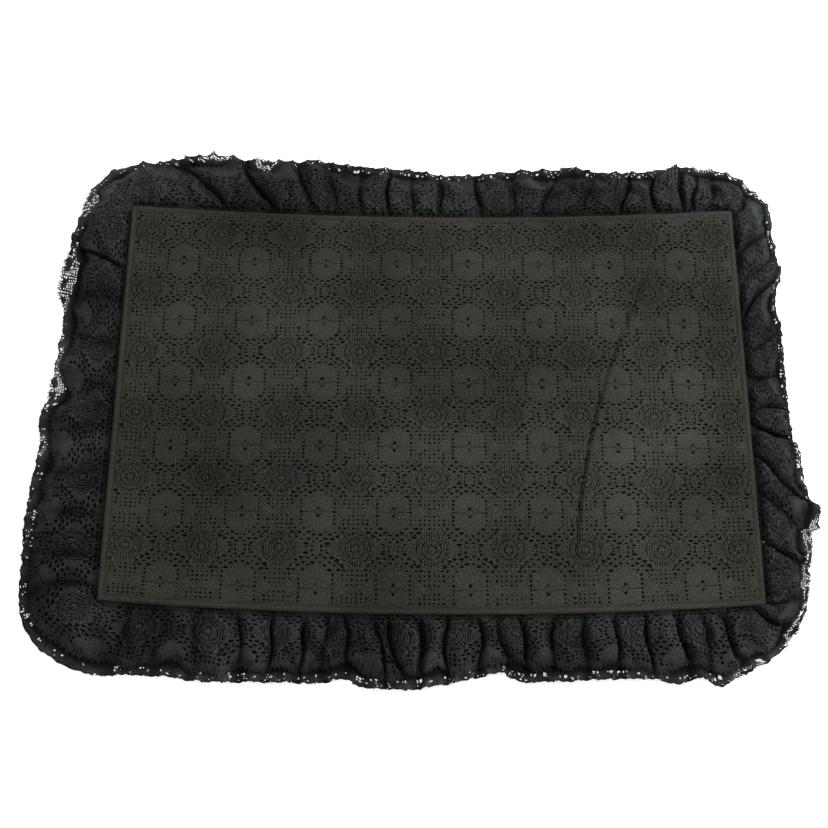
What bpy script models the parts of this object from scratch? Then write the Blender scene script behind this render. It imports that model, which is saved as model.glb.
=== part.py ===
"""Frilled lace table mat: a lace-faced cloth mat with a double gathered lace frill sewn in all round.

It lies flat on a table. +X runs along the long side, +Y across the mat, +Z up, in metres. The origin is on
the table under the middle of the whole mat, frill included.

The mat is sewn the usual way. The lace face is mounted on a plain lining, and both are turned under along
the edge. The back cloth is turned up to meet them, the headings of the two frills are caught in between,
and a row of topstitch close to the edge holds every layer.
"""

import math

import bmesh
import bpy

# ---- Driving dimensions -----------------------------------------------------------------------------
PANEL_LENGTH = 0.4572           # 18 in, fold to fold
PANEL_WIDTH = 0.3048            # 12 in
PANEL_CORNER = 0.003            # how round the turned corners are
LEAST_CORNER = 0.0006           # and the least they get on loops further inside
PANEL_BEND = 0.0085             # how far the middle of the mat lies towards -Y of its two ends
TURNED_EDGE = 0.007             # seam allowance folded inside
CLOTH = 0.0003                  # thickness of each layer of cloth or lace
GAP = 0.00025                   # room left between neighbouring layers
THREAD = 0.00025                # sewing thread, across
LEVEL_WIDTH = 0.009             # the edge stays at its full height this far in
SLOPE_WIDTH = 0.015             # and then drops to the flat middle over this width

FRILL_LEFT = 0.050              # how far the wider, lower frill reaches out from each side
FRILL_RIGHT = 0.034
FRILL_TOP = 0.042
FRILL_BOTTOM = 0.049
CORNER_TRIM = (0.009, 0.010, -0.004, 0.008)  # less reach at each corner, counter-clockwise from +X +Y
UPPER_SHARE = 0.74              # the upper frill's reach, as a share of the lower one's
FRILL_HEADING = 0.006           # how much of each frill is caught in the seam
FRILL_FLAT = 0.002              # the frill leaves the seam flat for this far
FRILL_CORNER = 0.009            # the frills are sewn round the corners on this radius
CORNER_FAN = 0.028              # and their folds are spaced along this wider one
FRILL_PUFF = 0.0065             # height of the gathered folds
FRILL_PUFF_LEFT = 0.002         # the left side has next to no gathers
FRILL_FOLDS = 44
PUFF_AT = 0.42                  # the folds stand highest at this share of the reach
PUFF_LEAST = 0.35               # and there the hollows between them stay this high, as a share
JOIN_Y = -0.082                 # where the two ends of each frill meet, on the +X side
JOIN_GAP = 0.0004               # between the two ends
JOIN_TAB = 0.007                # the lower frill sticks out this much more at its join
JOIN_TAB_HALF = 0.020
JOIN_BITES = 8                  # zigzags of the thread that joins the two ends
JOIN_BITE = 0.0012              # how far each goes to either side
JOIN_END = 0.04                 # the thread stops this share of the way short of each end
JOIN_LIFT = 0.0001              # and lies this much above a neighbouring layer's gap

TOPSTITCH_IN = 0.0038           # topstitch, inside the edge
SEAM_IN = 0.0013                # hidden seam, inside the edge
GATHER_IN = 0.0045              # gathering row, inside the edge

SIDE_COLUMNS = (10, 6)          # stretches along a long and a short side
CORNER_COLUMNS = 3
FRILL_COLUMNS_A_FOLD = 4

# ---- Worked out from them ---------------------------------------------------------------------------
STEP = CLOTH + GAP              # from one layer's middle to the next
THREAD_ROW = THREAD + GAP       # extra height where a thread lies between two layers

BACK_LEVEL = THREAD + GAP + CLOTH / 2
BACK_TURNED_LEVEL = BACK_LEVEL + STEP
UNDER_HEADING_LEVEL = BACK_TURNED_LEVEL + STEP
UPPER_HEADING_LEVEL = UNDER_HEADING_LEVEL + STEP + THREAD_ROW
LACE_TURNED_LEVEL = UPPER_HEADING_LEVEL + STEP + THREAD_ROW
LINING_TURNED_LEVEL = LACE_TURNED_LEVEL + STEP
LINING_LEVEL = LINING_TURNED_LEVEL + STEP
LACE_LEVEL = LINING_LEVEL + STEP

BACK_MIDDLE_LEVEL = CLOTH / 2
LINING_MIDDLE_LEVEL = BACK_MIDDLE_LEVEL + STEP
LACE_MIDDLE_LEVEL = LINING_MIDDLE_LEVEL + STEP

HALF_LENGTH = PANEL_LENGTH / 2
HALF_WIDTH = PANEL_WIDTH / 2

FACE_COLOUR = (0.032, 0.031, 0.026)
PLAIN_COLOUR = (0.012, 0.012, 0.013)
FRILL_COLOUR = (0.020, 0.022, 0.027)
THREAD_COLOUR = (0.024, 0.024, 0.025)


def clear_scene():
    for old in list(bpy.data.objects):
        bpy.data.objects.remove(old, do_unlink=True)


def material(name, colour, roughness):
    made = bpy.data.materials.new(name)
    made.use_nodes = True
    shader = made.node_tree.nodes["Principled BSDF"]
    shader.inputs["Base Color"].default_value = (*colour, 1.0)
    shader.inputs["Roughness"].default_value = roughness
    shader.inputs["Metallic"].default_value = 0.0
    return made


# ---- Where things lie -------------------------------------------------------------------------------
def bent(x, y):
    """The mat doesn't lie quite straight: its middle sits towards -Y of its two ends."""
    return y - PANEL_BEND * (1 - (x / HALF_LENGTH) ** 2)


def middle_of_all():
    """The middle of the whole mat's outline, which becomes the origin."""
    columns = FRILL_FOLDS * FRILL_COLUMNS_A_FOLD
    across, along = [], []
    for column in range(columns + 1):
        (x, y), out = frill_edge(column / columns)
        reach = frill_reach(column / columns)
        across.append(x + reach * out[0])
        along.append(bent(x + reach * out[0], y + reach * out[1]))
    return (min(across) + max(across)) / 2, (min(along) + max(along)) / 2


def laid(points):
    """The points of a straight mat, moved to where the bent mat lies, with the origin in its middle."""
    return [(x - ORIGIN[0], bent(x, y) - ORIGIN[1], z) for x, y, z in points]


def loop(inside, level, radius=PANEL_CORNER):
    """One turn round the panel, counter-clockwise, this far inside its edge and at this height."""
    half_x, half_y = HALF_LENGTH - inside, HALF_WIDTH - inside
    round_by = max(radius - inside, LEAST_CORNER)
    run_x, run_y = half_x - round_by, half_y - round_by
    along, across = SIDE_COLUMNS
    points = []
    for turn in range(4):
        facing = turn * math.pi / 2
        out = (math.cos(facing), math.sin(facing))
        columns = across if turn % 2 == 0 else along
        reach, run = (half_x, run_y) if turn % 2 == 0 else (half_y, run_x)
        for column in range(columns):
            side = run * (2 * column / columns - 1)
            points.append((out[0] * reach - out[1] * side, out[1] * reach + out[0] * side, level))
        corner_x = run_x * (1 if turn in (0, 3) else -1)
        corner_y = run_y * (1 if turn in (0, 1) else -1)
        for column in range(CORNER_COLUMNS):
            angle = facing + math.pi / 2 * column / CORNER_COLUMNS
            points.append(
                (corner_x + round_by * math.cos(angle), corner_y + round_by * math.sin(angle), level)
            )
    return points


def frill_edge(share):
    """A point of the frill seam and the way out from it, at a share of the way round from the join."""
    run_x, run_y = HALF_LENGTH - FRILL_CORNER, HALF_WIDTH - FRILL_CORNER
    arc = CORNER_FAN * math.pi / 2
    whole = 4 * (run_x + run_y + arc)
    way = (share * whole + JOIN_Y + run_y) % whole
    for turn in range(4):
        facing = turn * math.pi / 2
        out = (math.cos(facing), math.sin(facing))
        reach, run = (HALF_LENGTH, run_y) if turn % 2 == 0 else (HALF_WIDTH, run_x)
        if way <= 2 * run:
            side = way - run
            return (out[0] * reach - out[1] * side, out[1] * reach + out[0] * side), out
        way -= 2 * run
        if way <= arc:
            angle = facing + math.pi / 2 * way / arc
            corner_x = run_x * (1 if turn in (0, 3) else -1)
            corner_y = run_y * (1 if turn in (0, 1) else -1)
            out = (math.cos(angle), math.sin(angle))
            return (corner_x + FRILL_CORNER * out[0], corner_y + FRILL_CORNER * out[1]), out
        way -= arc
    raise ValueError("share must be from 0 to 1")


def by_side(out, right, left, top, bottom):
    """A value that belongs to a side of the mat, blended round the corners."""
    across = right if out[0] > 0 else left
    along = top if out[1] > 0 else bottom
    return across * out[0] ** 2 + along * out[1] ** 2


def join_tab(y, out):
    """How much further the frill sticks out beside its join, which is on the right side."""
    near = max(0.0, 1 - ((y - JOIN_Y) / JOIN_TAB_HALF) ** 4)
    return JOIN_TAB * near if out == (1.0, 0.0) else 0.0


def frill_reach(share):
    """How far the lower frill reaches out, at a share of the way round from the join."""
    (_, y), out = frill_edge(share)
    corner = (0 if out[0] > 0 else 1) if out[1] > 0 else (2 if out[0] < 0 else 3)
    trim = CORNER_TRIM[corner] * (2 * out[0] * out[1]) ** 2
    return by_side(out, FRILL_RIGHT, FRILL_LEFT, FRILL_TOP, FRILL_BOTTOM) - trim + join_tab(y, out)


# ---- Pieces -----------------------------------------------------------------------------------------
def finish(name, mesh, colour, roughness, collection):
    piece = bpy.data.objects.new(name, mesh)
    mesh.materials.append(material(name, colour, roughness))
    collection.objects.link(piece)
    return piece


def thicken(piece):
    solid = piece.modifiers.new("cloth_thickness", "SOLIDIFY")
    solid.thickness = CLOTH
    solid.offset = 0.0
    solid.use_even_offset = True


def turned_sheet(name, loops, colour, roughness, collection):
    """A panel of cloth: its flat middle, then one loop after another out to the fold and back in."""
    count = len(loops[0])
    sheet = bmesh.new()
    column = sheet.verts.layers.int.new("column")
    rim = bmesh.ops.create_circle(sheet, cap_ends=True, segments=count, radius=1.0)["verts"]
    for number, vertex in enumerate(rim):
        vertex[column] = number
        vertex.co = loops[0][number]
    rim_edges = [edge for edge in sheet.edges if edge.is_boundary]
    for points in loops[1:]:
        made = bmesh.ops.extrude_edge_only(sheet, edges=rim_edges)["geom"]
        for vertex in (item for item in made if isinstance(item, bmesh.types.BMVert)):
            vertex.co = points[vertex[column]]
        new_verts = {item for item in made if isinstance(item, bmesh.types.BMVert)}
        rim_edges = [e for e in sheet.edges if e.is_boundary and all(v in new_verts for v in e.verts)]
    bmesh.ops.recalc_face_normals(sheet, faces=sheet.faces)
    mesh = bpy.data.meshes.new(name)
    sheet.to_mesh(mesh)
    sheet.free()
    piece = finish(name, mesh, colour, roughness, collection)
    thicken(piece)
    return piece


def sheet_loops(edge_in, turned_level, level, middle_level):
    """The loops of one panel, from the flat middle out to its fold and back in along the allowance."""
    drop = LEVEL_WIDTH + SLOPE_WIDTH
    return [
        laid(loop(drop, middle_level)),
        laid(loop(LEVEL_WIDTH, level)),
        laid(loop(edge_in, level)),
        laid(loop(edge_in, turned_level)),
        laid(loop(TURNED_EDGE, turned_level)),
    ]


def frill(name, heading_level, width_share, lift, collection):
    """A gathered strip of lace from its heading, caught in the seam, out to its free edge."""
    columns = FRILL_FOLDS * FRILL_COLUMNS_A_FOLD
    rows = (-1, 0, 1, 2)
    strip = bmesh.new()
    bmesh.ops.create_grid(strip, x_segments=columns, y_segments=len(rows) - 1, size=1.0)
    for vertex in strip.verts:
        share = (vertex.co.x + 1) / 2
        row = rows[round((vertex.co.y + 1) / 2 * (len(rows) - 1))]
        vertex.co = frill_point(share, row, heading_level, width_share, lift)
    bmesh.ops.recalc_face_normals(strip, faces=strip.faces)
    mesh = bpy.data.meshes.new(name)
    strip.to_mesh(mesh)
    strip.free()
    piece = finish(name, mesh, FRILL_COLOUR, 0.8, collection)
    thicken(piece)
    return piece


def frill_point(share, row, heading_level, width_share, lift):
    """Rows: -1 is the heading's raw edge, 0 leaves the seam, 1 is the puff, 2 the free edge."""
    seam = 4 * (HALF_LENGTH + HALF_WIDTH)
    inset = JOIN_GAP / 2 / seam
    held = inset + share * (1 - 2 * inset)
    (seam_x, seam_y), out = frill_edge(held)
    reach = frill_reach(held)
    puff = by_side(out, FRILL_PUFF, FRILL_PUFF_LEFT, FRILL_PUFF, FRILL_PUFF)
    wave = 0.5 - 0.5 * math.cos(2 * math.pi * FRILL_FOLDS * share)
    if row == -1:
        far, level = -FRILL_HEADING, heading_level
    elif row == 0:
        far, level = FRILL_FLAT, heading_level
    else:
        outward = PUFF_AT if row == 1 else width_share
        settled = (outward - PUFF_AT) / (1 - PUFF_AT)
        least = PUFF_LEAST * (1 - settled)
        far, level = outward * reach, CLOTH / 2 + lift + puff * (least + (1 - least) * wave)
    place = laid([(seam_x + far * out[0], seam_y + far * out[1], level)])
    return place[0]


def thread(name, points, closed, collection):
    """A sewing thread along a route."""
    data = bpy.data.curves.new(name, "CURVE")
    data.dimensions = "3D"
    data.bevel_depth = THREAD / 2
    data.bevel_resolution = 1
    data.use_fill_caps = True
    route = data.splines.new("POLY")
    route.points.add(len(points) - 1)
    for place, target in zip(route.points, points):
        place.co = (*target, 1.0)
    route.use_cyclic_u = closed
    return finish(name, data, THREAD_COLOUR, 0.45, collection)


def join_stitches(name, heading_level, width_share, lift, collection):
    """The zigzag that joins a frill's two ends, on top of the frill from the seam to its free edge."""
    near, far = [], []
    for side, share in ((near, 0.0), (far, 1.0)):
        for row in (0, 1, 2):
            side.append(frill_point(share, row, heading_level, width_share, lift))
    points = []
    for number in range(JOIN_BITES + 1):
        way = JOIN_END + (1 - 2 * JOIN_END) * number / JOIN_BITES
        span = 0 if way < PUFF_AT else 1
        part = way / PUFF_AT if span == 0 else (way - PUFF_AT) / (1 - PUFF_AT)
        a, b = near[span], near[span + 1]
        x, y, z = (a[axis] + (b[axis] - a[axis]) * part for axis in range(3))
        points.append((x, y + JOIN_BITE * (-1) ** number, z + CLOTH / 2 + GAP + THREAD / 2 + JOIN_LIFT))
    return thread(name, points, False, collection)


ORIGIN = middle_of_all()


def build():
    clear_scene()
    collection = bpy.data.collections.new("frilled_lace_table_mat")
    bpy.context.scene.collection.children.link(collection)

    turned_sheet(
        "back_cloth",
        sheet_loops(0.0, BACK_TURNED_LEVEL, BACK_LEVEL, BACK_MIDDLE_LEVEL),
        PLAIN_COLOUR, 0.85, collection,
    )
    turned_sheet(
        "face_lining",
        sheet_loops(STEP, LINING_TURNED_LEVEL, LINING_LEVEL, LINING_MIDDLE_LEVEL),
        PLAIN_COLOUR, 0.85, collection,
    )
    turned_sheet(
        "face_lace",
        sheet_loops(0.0, LACE_TURNED_LEVEL, LACE_LEVEL, LACE_MIDDLE_LEVEL),
        FACE_COLOUR, 0.7, collection,
    )

    upper_lift = UPPER_HEADING_LEVEL - UNDER_HEADING_LEVEL
    frill("under_frill", UNDER_HEADING_LEVEL, 1.0, 0.0, collection)
    frill("upper_frill", UPPER_HEADING_LEVEL, UPPER_SHARE, upper_lift, collection)

    between = CLOTH / 2 + GAP + THREAD / 2
    thread("under_gathering_thread",
           laid(loop(GATHER_IN, UNDER_HEADING_LEVEL + between, FRILL_CORNER)), True, collection)
    thread("upper_gathering_thread",
           laid(loop(GATHER_IN, UPPER_HEADING_LEVEL + between, FRILL_CORNER)), True, collection)
    thread("seam_thread",
           laid(loop(SEAM_IN, UPPER_HEADING_LEVEL + between, FRILL_CORNER)), True, collection)
    thread("topstitch_needle_thread",
           laid(loop(TOPSTITCH_IN, LACE_LEVEL + between, PANEL_CORNER + 0.002)), True, collection)
    thread("topstitch_bobbin_thread",
           laid(loop(TOPSTITCH_IN, BACK_LEVEL - between, PANEL_CORNER + 0.002)), True, collection)
    join_stitches("under_join_thread", UNDER_HEADING_LEVEL, 1.0, 0.0, collection)
    join_stitches("upper_join_thread", UPPER_HEADING_LEVEL, UPPER_SHARE, upper_lift, collection)


build()
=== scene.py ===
"""Looks of the frilled lace table mat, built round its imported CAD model.

The lace is real geometry. One repeat of its pattern is worked out cell by cell, where a cell is one mesh of
the knitting: cloth, or cloth with an opening of some shape. lace_mesh() then lays that pattern over a
surface: the panel's gently creased face, and the gathered folds of the two frills.
"""

import math

import bpy
import numpy as np
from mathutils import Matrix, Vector


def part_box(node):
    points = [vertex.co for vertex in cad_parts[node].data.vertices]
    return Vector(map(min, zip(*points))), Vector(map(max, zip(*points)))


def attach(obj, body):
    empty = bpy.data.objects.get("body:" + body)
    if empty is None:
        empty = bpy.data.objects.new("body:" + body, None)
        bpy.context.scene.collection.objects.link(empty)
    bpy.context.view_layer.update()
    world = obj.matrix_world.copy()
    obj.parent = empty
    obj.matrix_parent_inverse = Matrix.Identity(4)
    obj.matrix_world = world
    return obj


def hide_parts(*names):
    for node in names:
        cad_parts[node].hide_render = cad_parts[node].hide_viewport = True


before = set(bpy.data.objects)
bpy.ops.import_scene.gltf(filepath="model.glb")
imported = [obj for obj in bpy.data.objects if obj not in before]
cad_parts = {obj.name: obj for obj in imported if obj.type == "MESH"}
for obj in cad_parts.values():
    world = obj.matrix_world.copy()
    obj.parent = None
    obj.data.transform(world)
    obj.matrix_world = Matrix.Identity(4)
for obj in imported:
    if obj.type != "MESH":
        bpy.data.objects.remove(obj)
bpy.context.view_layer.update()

MM = 0.001

# ---- Sizes that the frame gives ----
FACE_LOW, FACE_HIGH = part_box("face_lace")
CLOTH = 0.0003  # the CAD's cloth, which its box includes
HALF_X = (FACE_HIGH[0] - FACE_LOW[0] - CLOTH) / 2
MIDDLE_X = (FACE_HIGH[0] + FACE_LOW[0]) / 2
HALF_Y = 0.1524  # half of 12 inches, which the CAD's box doesn't give, as the panel is bent
BEND = (FACE_HIGH[1] - FACE_LOW[1] - CLOTH) - 2 * HALF_Y  # its long edges bow this far towards -Y
MIDDLE_Y = FACE_HIGH[1] - CLOTH / 2 - HALF_Y

# ---- Lace ----
REPEAT_X, REPEAT_Y = 53.3 * MM, 48.7 * MM
TILE_A, TILE_B = 32, 34  # cells in a repeat, along and across
CELL_X, CELL_Y = REPEAT_X / TILE_A, REPEAT_Y / TILE_B

# What a cell can be. A long eyelet takes up two cells, and GONE is no cloth at all.
GONE, SOLID, SLIT, HOLE, LINE, LONG, LONG_END = range(-1, 6)

# How much of its cell each opening takes up, along and across, and then a long eyelet's six corners
OPENING = {SLIT: (0.48, 0.80), HOLE: (0.90, 0.90), LINE: (0.94, 0.32)}
LONG_ALONG = [0.84] * 6
LONG_ACROSS = [0.42, 0.86, 0.42, 0.42, 0.86, 0.42]

# The pattern's shapes, in millimetres from the middle of the flower or the rosette they belong to
ROSETTE = 12.8
RING = 1.95  # one ring of the rosette's slits
FLATTER = 1.12  # the rosette and its rings are this much wider than high
BAR_X, BAR_Y = 3.0, 1.0  # half of the plain bar in its middle
LOBE_X, LOBE_Y, LOBE = 6.0, 4.8, 6.0
TIP_Y, TIP = 8.6, 4.9  # the flower's smaller lobes, above and below
PETAL_X, PETAL_WIDE, PETAL_HIGH = 18.0, 4.4, 3.9
NEXT_X, NEXT_Y = 26.65, 24.35  # from a flower to the rosettes round it
LEAF, LEAF_FLATTER = 15.0, 1.15  # a leaf of plain cloth hugs each rosette, on the flower's side
LEAF_FACING, LEAF_SPREAD = 0.75, 0.5  # radians

# How high the plain shapes stand, and how rings rise and sink by turns, in millimetres
BAR_RISE, LOBE_RISE, PETAL_RISE, LEAF_RISE, FAN_RISE = 0.15, 0.18, 0.38, 0.22, 0.2
RING_RISE, RING_SUNK = 0.10, -0.06

# What makes the lace uneven
JITTER = 0.14  # how far a point strays, as a share of its cell
EVEN_ROWS = 3  # at a piece's edge, where no point strays
UNEVEN = 0.075  # how far a point typically stands up or down, mm
SMALLEST, LARGEST = 0.65, 1.12  # an opening's size against its kind's
WIDEST = 0.94  # the most of its cell that an opening takes up
RIM_SUNK = 0.14  # of an opening, below the cloth round it, mm
PULL_ALONG, PULL_ACROSS = 0.17, 0.22  # of an eyelet on the points beside it, as shares of a cell

# The eyelet rows in one quarter of a flower's surroundings, in cells from its middle: where a row starts,
# its step, how many eyelets, whether they are round or long, and their size
EYELET_ROWS = [
    ((7, 0), (0, 2), 4, HOLE, 0.85),
    ((5, 8), (-2, 1.5), 3, LONG, 1.0),
    ((0, 13), (0, 1), 1, HOLE, 1.0),
    ((9, 8), (-2, 1.6), 5, LONG, 0.95),
    ((10, 10), (-2, 1.7), 4, LONG, 1.05),
    ((11, 9), (-2, 2), 2, HOLE, 1.0),
    ((11, 8), (2, -1), 1, LONG, 0.9),
    ((11, 4), (0, 2), 2, HOLE, 0.85),
    ((13, 2), (0, 2), 3, HOLE, 0.72),
    ((15, 2), (0, 2), 4, HOLE, 0.72),
    ((2, 16), (2, 0), 2, HOLE, 0.8),
]


class Cells:
    """What each cell of a piece of lace is, its opening's size and shift, and how high it stands in mm."""

    def __init__(self, columns, rows):
        self.kind = np.full((columns, rows), SOLID)
        self.size = np.ones((columns, rows))
        self.shift = np.zeros((columns, rows, 2))
        self.rise = np.zeros((columns, rows))

    def taken(self, a, b):
        """The cells at these rows and columns of a tile, as a new piece of lace."""
        piece = Cells(len(a), len(b))
        where = np.ix_(a % self.kind.shape[0], b % self.kind.shape[1])
        for part in ("kind", "size", "shift", "rise"):
            setattr(piece, part, getattr(self, part)[where].copy())
        return piece


def make_tile():
    """One repeat of the lace, with a flower at its corner cell and a rosette in its middle."""
    tile = Cells(TILE_A, TILE_B)
    cell_x, cell_y = CELL_X / MM, CELL_Y / MM
    for a in range(TILE_A):
        for b in range(TILE_B):
            p, q = min(a, TILE_A - a), min(b, TILE_B - b)
            rx, ry = (a - TILE_A / 2) * cell_x, (b - TILE_B / 2) * cell_y
            if math.hypot(rx, FLATTER * ry) < ROSETTE:
                put_rosette_cell(tile, a, b, rx, ry, cell_x)
            else:
                put_flower_cell(tile, a, b, p, q, p * cell_x, q * cell_y)
    for (p, q), (step_p, step_q), count, kind, size in EYELET_ROWS:
        for k in range(count):
            put_eyelets(tile, p + k * step_p, round(q + k * step_q), kind, size)
    return tile


def put_rosette_cell(tile, a, b, rx, ry, cell_x):
    """Upright slits that fall into rings, wide and narrow by turns, round a small plain bar."""
    radius = max(math.hypot(rx, FLATTER * ry), 0.1)
    number = int(radius / RING)
    if abs(rx) < BAR_X and abs(ry) < BAR_Y:
        tile.rise[a, b] = BAR_RISE
        return
    # each slit moves towards the middle line of its ring
    off = (number + 0.5) * RING - radius
    reach = 0.30 * cell_x
    tile.kind[a, b] = SLIT
    tile.size[a, b] = 1.15 if number % 2 else 0.85
    tile.shift[a, b] = (max(-reach, min(reach, off * rx / radius)) * MM,
                        max(-reach, min(reach, off * ry / radius)) * 0.4 * MM)
    tile.rise[a, b] = RING_SUNK if number % 2 else RING_RISE


def put_flower_cell(tile, a, b, p, q, x, y):
    """A four-lobed flower with a ring of slits in its middle, a slit line across, and side petals."""
    lobe = min(math.hypot(x - LOBE_X, y - LOBE_Y) / LOBE, math.hypot(x, y - TIP_Y) / TIP)
    petal = math.hypot((x - PETAL_X) / PETAL_WIDE, y / PETAL_HIGH)
    hugging = math.hypot(x - NEXT_X, LEAF_FLATTER * (y - NEXT_Y))
    facing = abs(math.atan2(NEXT_Y - y, NEXT_X - x) - LEAF_FACING)
    if (p, q) in ((0, 2), (1, 1), (2, 0)):
        tile.kind[a, b], tile.size[a, b] = (HOLE, 1.05) if q == 2 else (SLIT, 1.0)
    elif q == 0 and 3 <= p <= 6:
        tile.kind[a, b] = LINE
    elif lobe < 1:
        tile.rise[a, b] = LOBE_RISE * (1 - lobe ** 6)
    elif petal < 1:
        tile.rise[a, b] = PETAL_RISE * (1 - petal ** 4)
    elif hugging < LEAF and facing < LEAF_SPREAD:
        tile.rise[a, b] = LEAF_RISE
    else:
        tile.kind[a, b], tile.size[a, b] = SLIT, 0.45 + 0.3 * ((p + q) % 2)


def put_eyelets(tile, p, q, kind, size):
    """The same eyelet in all four quarters round the flower."""
    for side_a in (-1, 1):
        for side_b in (-1, 1):
            b = side_b * q % TILE_B
            if kind == LONG:
                first = p if side_a > 0 else -(p + 1)
                tile.kind[first % TILE_A, b] = LONG
                tile.size[first % TILE_A, b] = size
                tile.kind[(first + 1) % TILE_A, b] = LONG_END
            else:
                tile.kind[side_a * p % TILE_A, b] = HOLE
                tile.size[side_a * p % TILE_A, b] = size


TILE = make_tile()


def grid_lines(low, high, cell, fine_count=0, fine=0.6 * MM):
    """Where the rows of cells start and end: even cells, with fine_count fine ones at each end."""
    middle_low, middle_high = low + fine_count * fine, high - fine_count * fine
    cells = round((middle_high - middle_low) / cell)
    return np.concatenate([
        low + fine * np.arange(fine_count),
        np.linspace(middle_low, middle_high, cells + 1),
        middle_high + fine * np.arange(1, fine_count + 1),
    ])


def to_corners(values):
    """The sum, at each grid point, of a value of the cells round it."""
    padded = np.pad(values, 1)
    return padded[:-1, :-1] + padded[1:, :-1] + padded[:-1, 1:] + padded[1:, 1:]


def pulled_open(cells):
    """How far each grid point is pulled away from the eyelets beside it, as shares of a cell."""
    wide = np.pad(np.isin(cells.kind, (HOLE, LONG, LONG_END)).astype(float), 1)
    low_a, high_a = wide[:-1, :-1] + wide[:-1, 1:], wide[1:, :-1] + wide[1:, 1:]
    low_b, high_b = wide[:-1, :-1] + wide[1:, :-1], wide[:-1, 1:] + wide[1:, 1:]
    return PULL_ALONG * np.clip(low_a - high_a, -1, 1), PULL_ACROSS * np.clip(low_b - high_b, -1, 1)


def lace_mesh(name, us, vs, cells, place, seed):
    """Lace as one open mesh: a face for each plain cell, and a ring of faces round each opening.

    us and vs are the grid's lines on the flat cloth, and place(u, v, lift) says where a flat point lies.
    """
    dice = np.random.default_rng(seed)
    kind = cells.kind.copy()
    # a long eyelet needs both of its cells
    starts = np.zeros_like(kind, bool)
    starts[:-1] = (kind[:-1] == LONG) & (kind[1:] == LONG_END)
    ends = np.zeros_like(starts)
    ends[1:] = starts[:-1]
    kind[(kind == LONG) & ~starts] = HOLE
    kind[(kind == LONG_END) & ~ends] = SOLID

    grid_u, grid_v = np.meshgrid(us, vs, indexing="ij")
    shape = grid_u.shape
    cell_u, cell_v = np.gradient(us)[:, None], np.gradient(vs)[None, :]
    pull_u, pull_v = pulled_open(cells)
    pull_u = pull_u + dice.uniform(-JITTER, JITTER, shape)
    pull_v = pull_v + dice.uniform(-JITTER, JITTER, shape)
    for pull in (pull_u, pull_v):
        for rim in (np.s_[:EVEN_ROWS], np.s_[-EVEN_ROWS:], np.s_[:, :EVEN_ROWS], np.s_[:, -EVEN_ROWS:]):
            pull[rim] = 0
    grid_u = grid_u + pull_u * cell_u
    grid_v = grid_v + pull_v * cell_v
    grid_rise = to_corners(cells.rise) / 4 + dice.normal(0, UNEVEN, shape)
    us_all, vs_all, rise_all = [grid_u.ravel()], [grid_v.ravel()], [grid_rise.ravel()]
    index = np.arange(grid_u.size).reshape(shape)
    used = grid_u.size
    faces = []

    def opening(loops, i, j, share_u, share_v):
        """Points inside a loop of outer ones, drawn in to their middle, and the faces in between."""
        nonlocal used
        outer_u = np.stack([grid_u.ravel()[loop] for loop in loops])
        outer_v = np.stack([grid_v.ravel()[loop] for loop in loops])
        outer_rise = np.stack([grid_rise.ravel()[loop] for loop in loops])
        middle_u = outer_u.mean(0) + cells.shift[i, j, 0]
        middle_v = outer_v.mean(0) + cells.shift[i, j, 1]
        size = cells.size[i, j] * dice.uniform(SMALLEST, LARGEST, len(i))
        made = []
        for k in range(len(loops)):
            us_all.append(middle_u + (outer_u[k] - outer_u.mean(0)) * np.minimum(share_u[k] * size, WIDEST))
            vs_all.append(middle_v + (outer_v[k] - outer_v.mean(0)) * np.minimum(share_v[k] * size, WIDEST))
            rise_all.append(outer_rise[k] - RIM_SUNK)
            made.append(used + np.arange(len(i)))
            used += len(i)
        for k in range(len(loops)):
            n = (k + 1) % len(loops)
            faces.append(np.stack([loops[k], loops[n], made[n], made[k]], 1))

    i, j = np.nonzero(kind == SOLID)
    faces.append(np.stack([index[i, j], index[i + 1, j], index[i + 1, j + 1], index[i, j + 1]], 1))
    for which, (share_u, share_v) in OPENING.items():
        i, j = np.nonzero(kind == which)
        loops = [index[i, j], index[i + 1, j], index[i + 1, j + 1], index[i, j + 1]]
        opening(loops, i, j, [share_u] * 4, [share_v] * 4)
    i, j = np.nonzero(kind == LONG)
    loops = [index[i, j], index[i + 1, j], index[i + 2, j],
             index[i + 2, j + 1], index[i + 1, j + 1], index[i, j + 1]]
    opening(loops, i, j, LONG_ALONG, LONG_ACROSS)

    u, v, rise = (np.concatenate(part) for part in (us_all, vs_all, rise_all))
    return mesh_from(name, place(u, v, rise * MM), np.concatenate(faces), np.stack([u, v], 1))


def mesh_from(name, points, quads, flat=None):
    """A smooth mesh of quads, without unused points, with the flat cloth's own coordinates as its UV map."""
    keep = np.zeros(len(points), bool)
    keep[quads.ravel()] = True
    renumber = np.cumsum(keep) - 1
    quads = renumber[quads]
    points = points[keep]
    mesh = bpy.data.meshes.new(name)
    mesh.vertices.add(len(points))
    mesh.vertices.foreach_set("co", points.astype(np.float32).ravel())
    mesh.loops.add(quads.size)
    mesh.loops.foreach_set("vertex_index", quads.astype(np.int32).ravel())
    mesh.polygons.add(len(quads))
    mesh.polygons.foreach_set("loop_start", np.arange(0, quads.size, 4, dtype=np.int32))
    mesh.update(calc_edges=True)
    mesh.polygons.foreach_set("use_smooth", np.ones(len(quads), bool))
    if flat is not None:
        layer = mesh.uv_layers.new(name="cloth")
        layer.data.foreach_set("uv", flat[keep][quads.ravel()].astype(np.float32).ravel())
    mesh.validate()
    piece = bpy.data.objects.new(name, mesh)
    bpy.context.scene.collection.objects.link(piece)
    return piece


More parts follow.
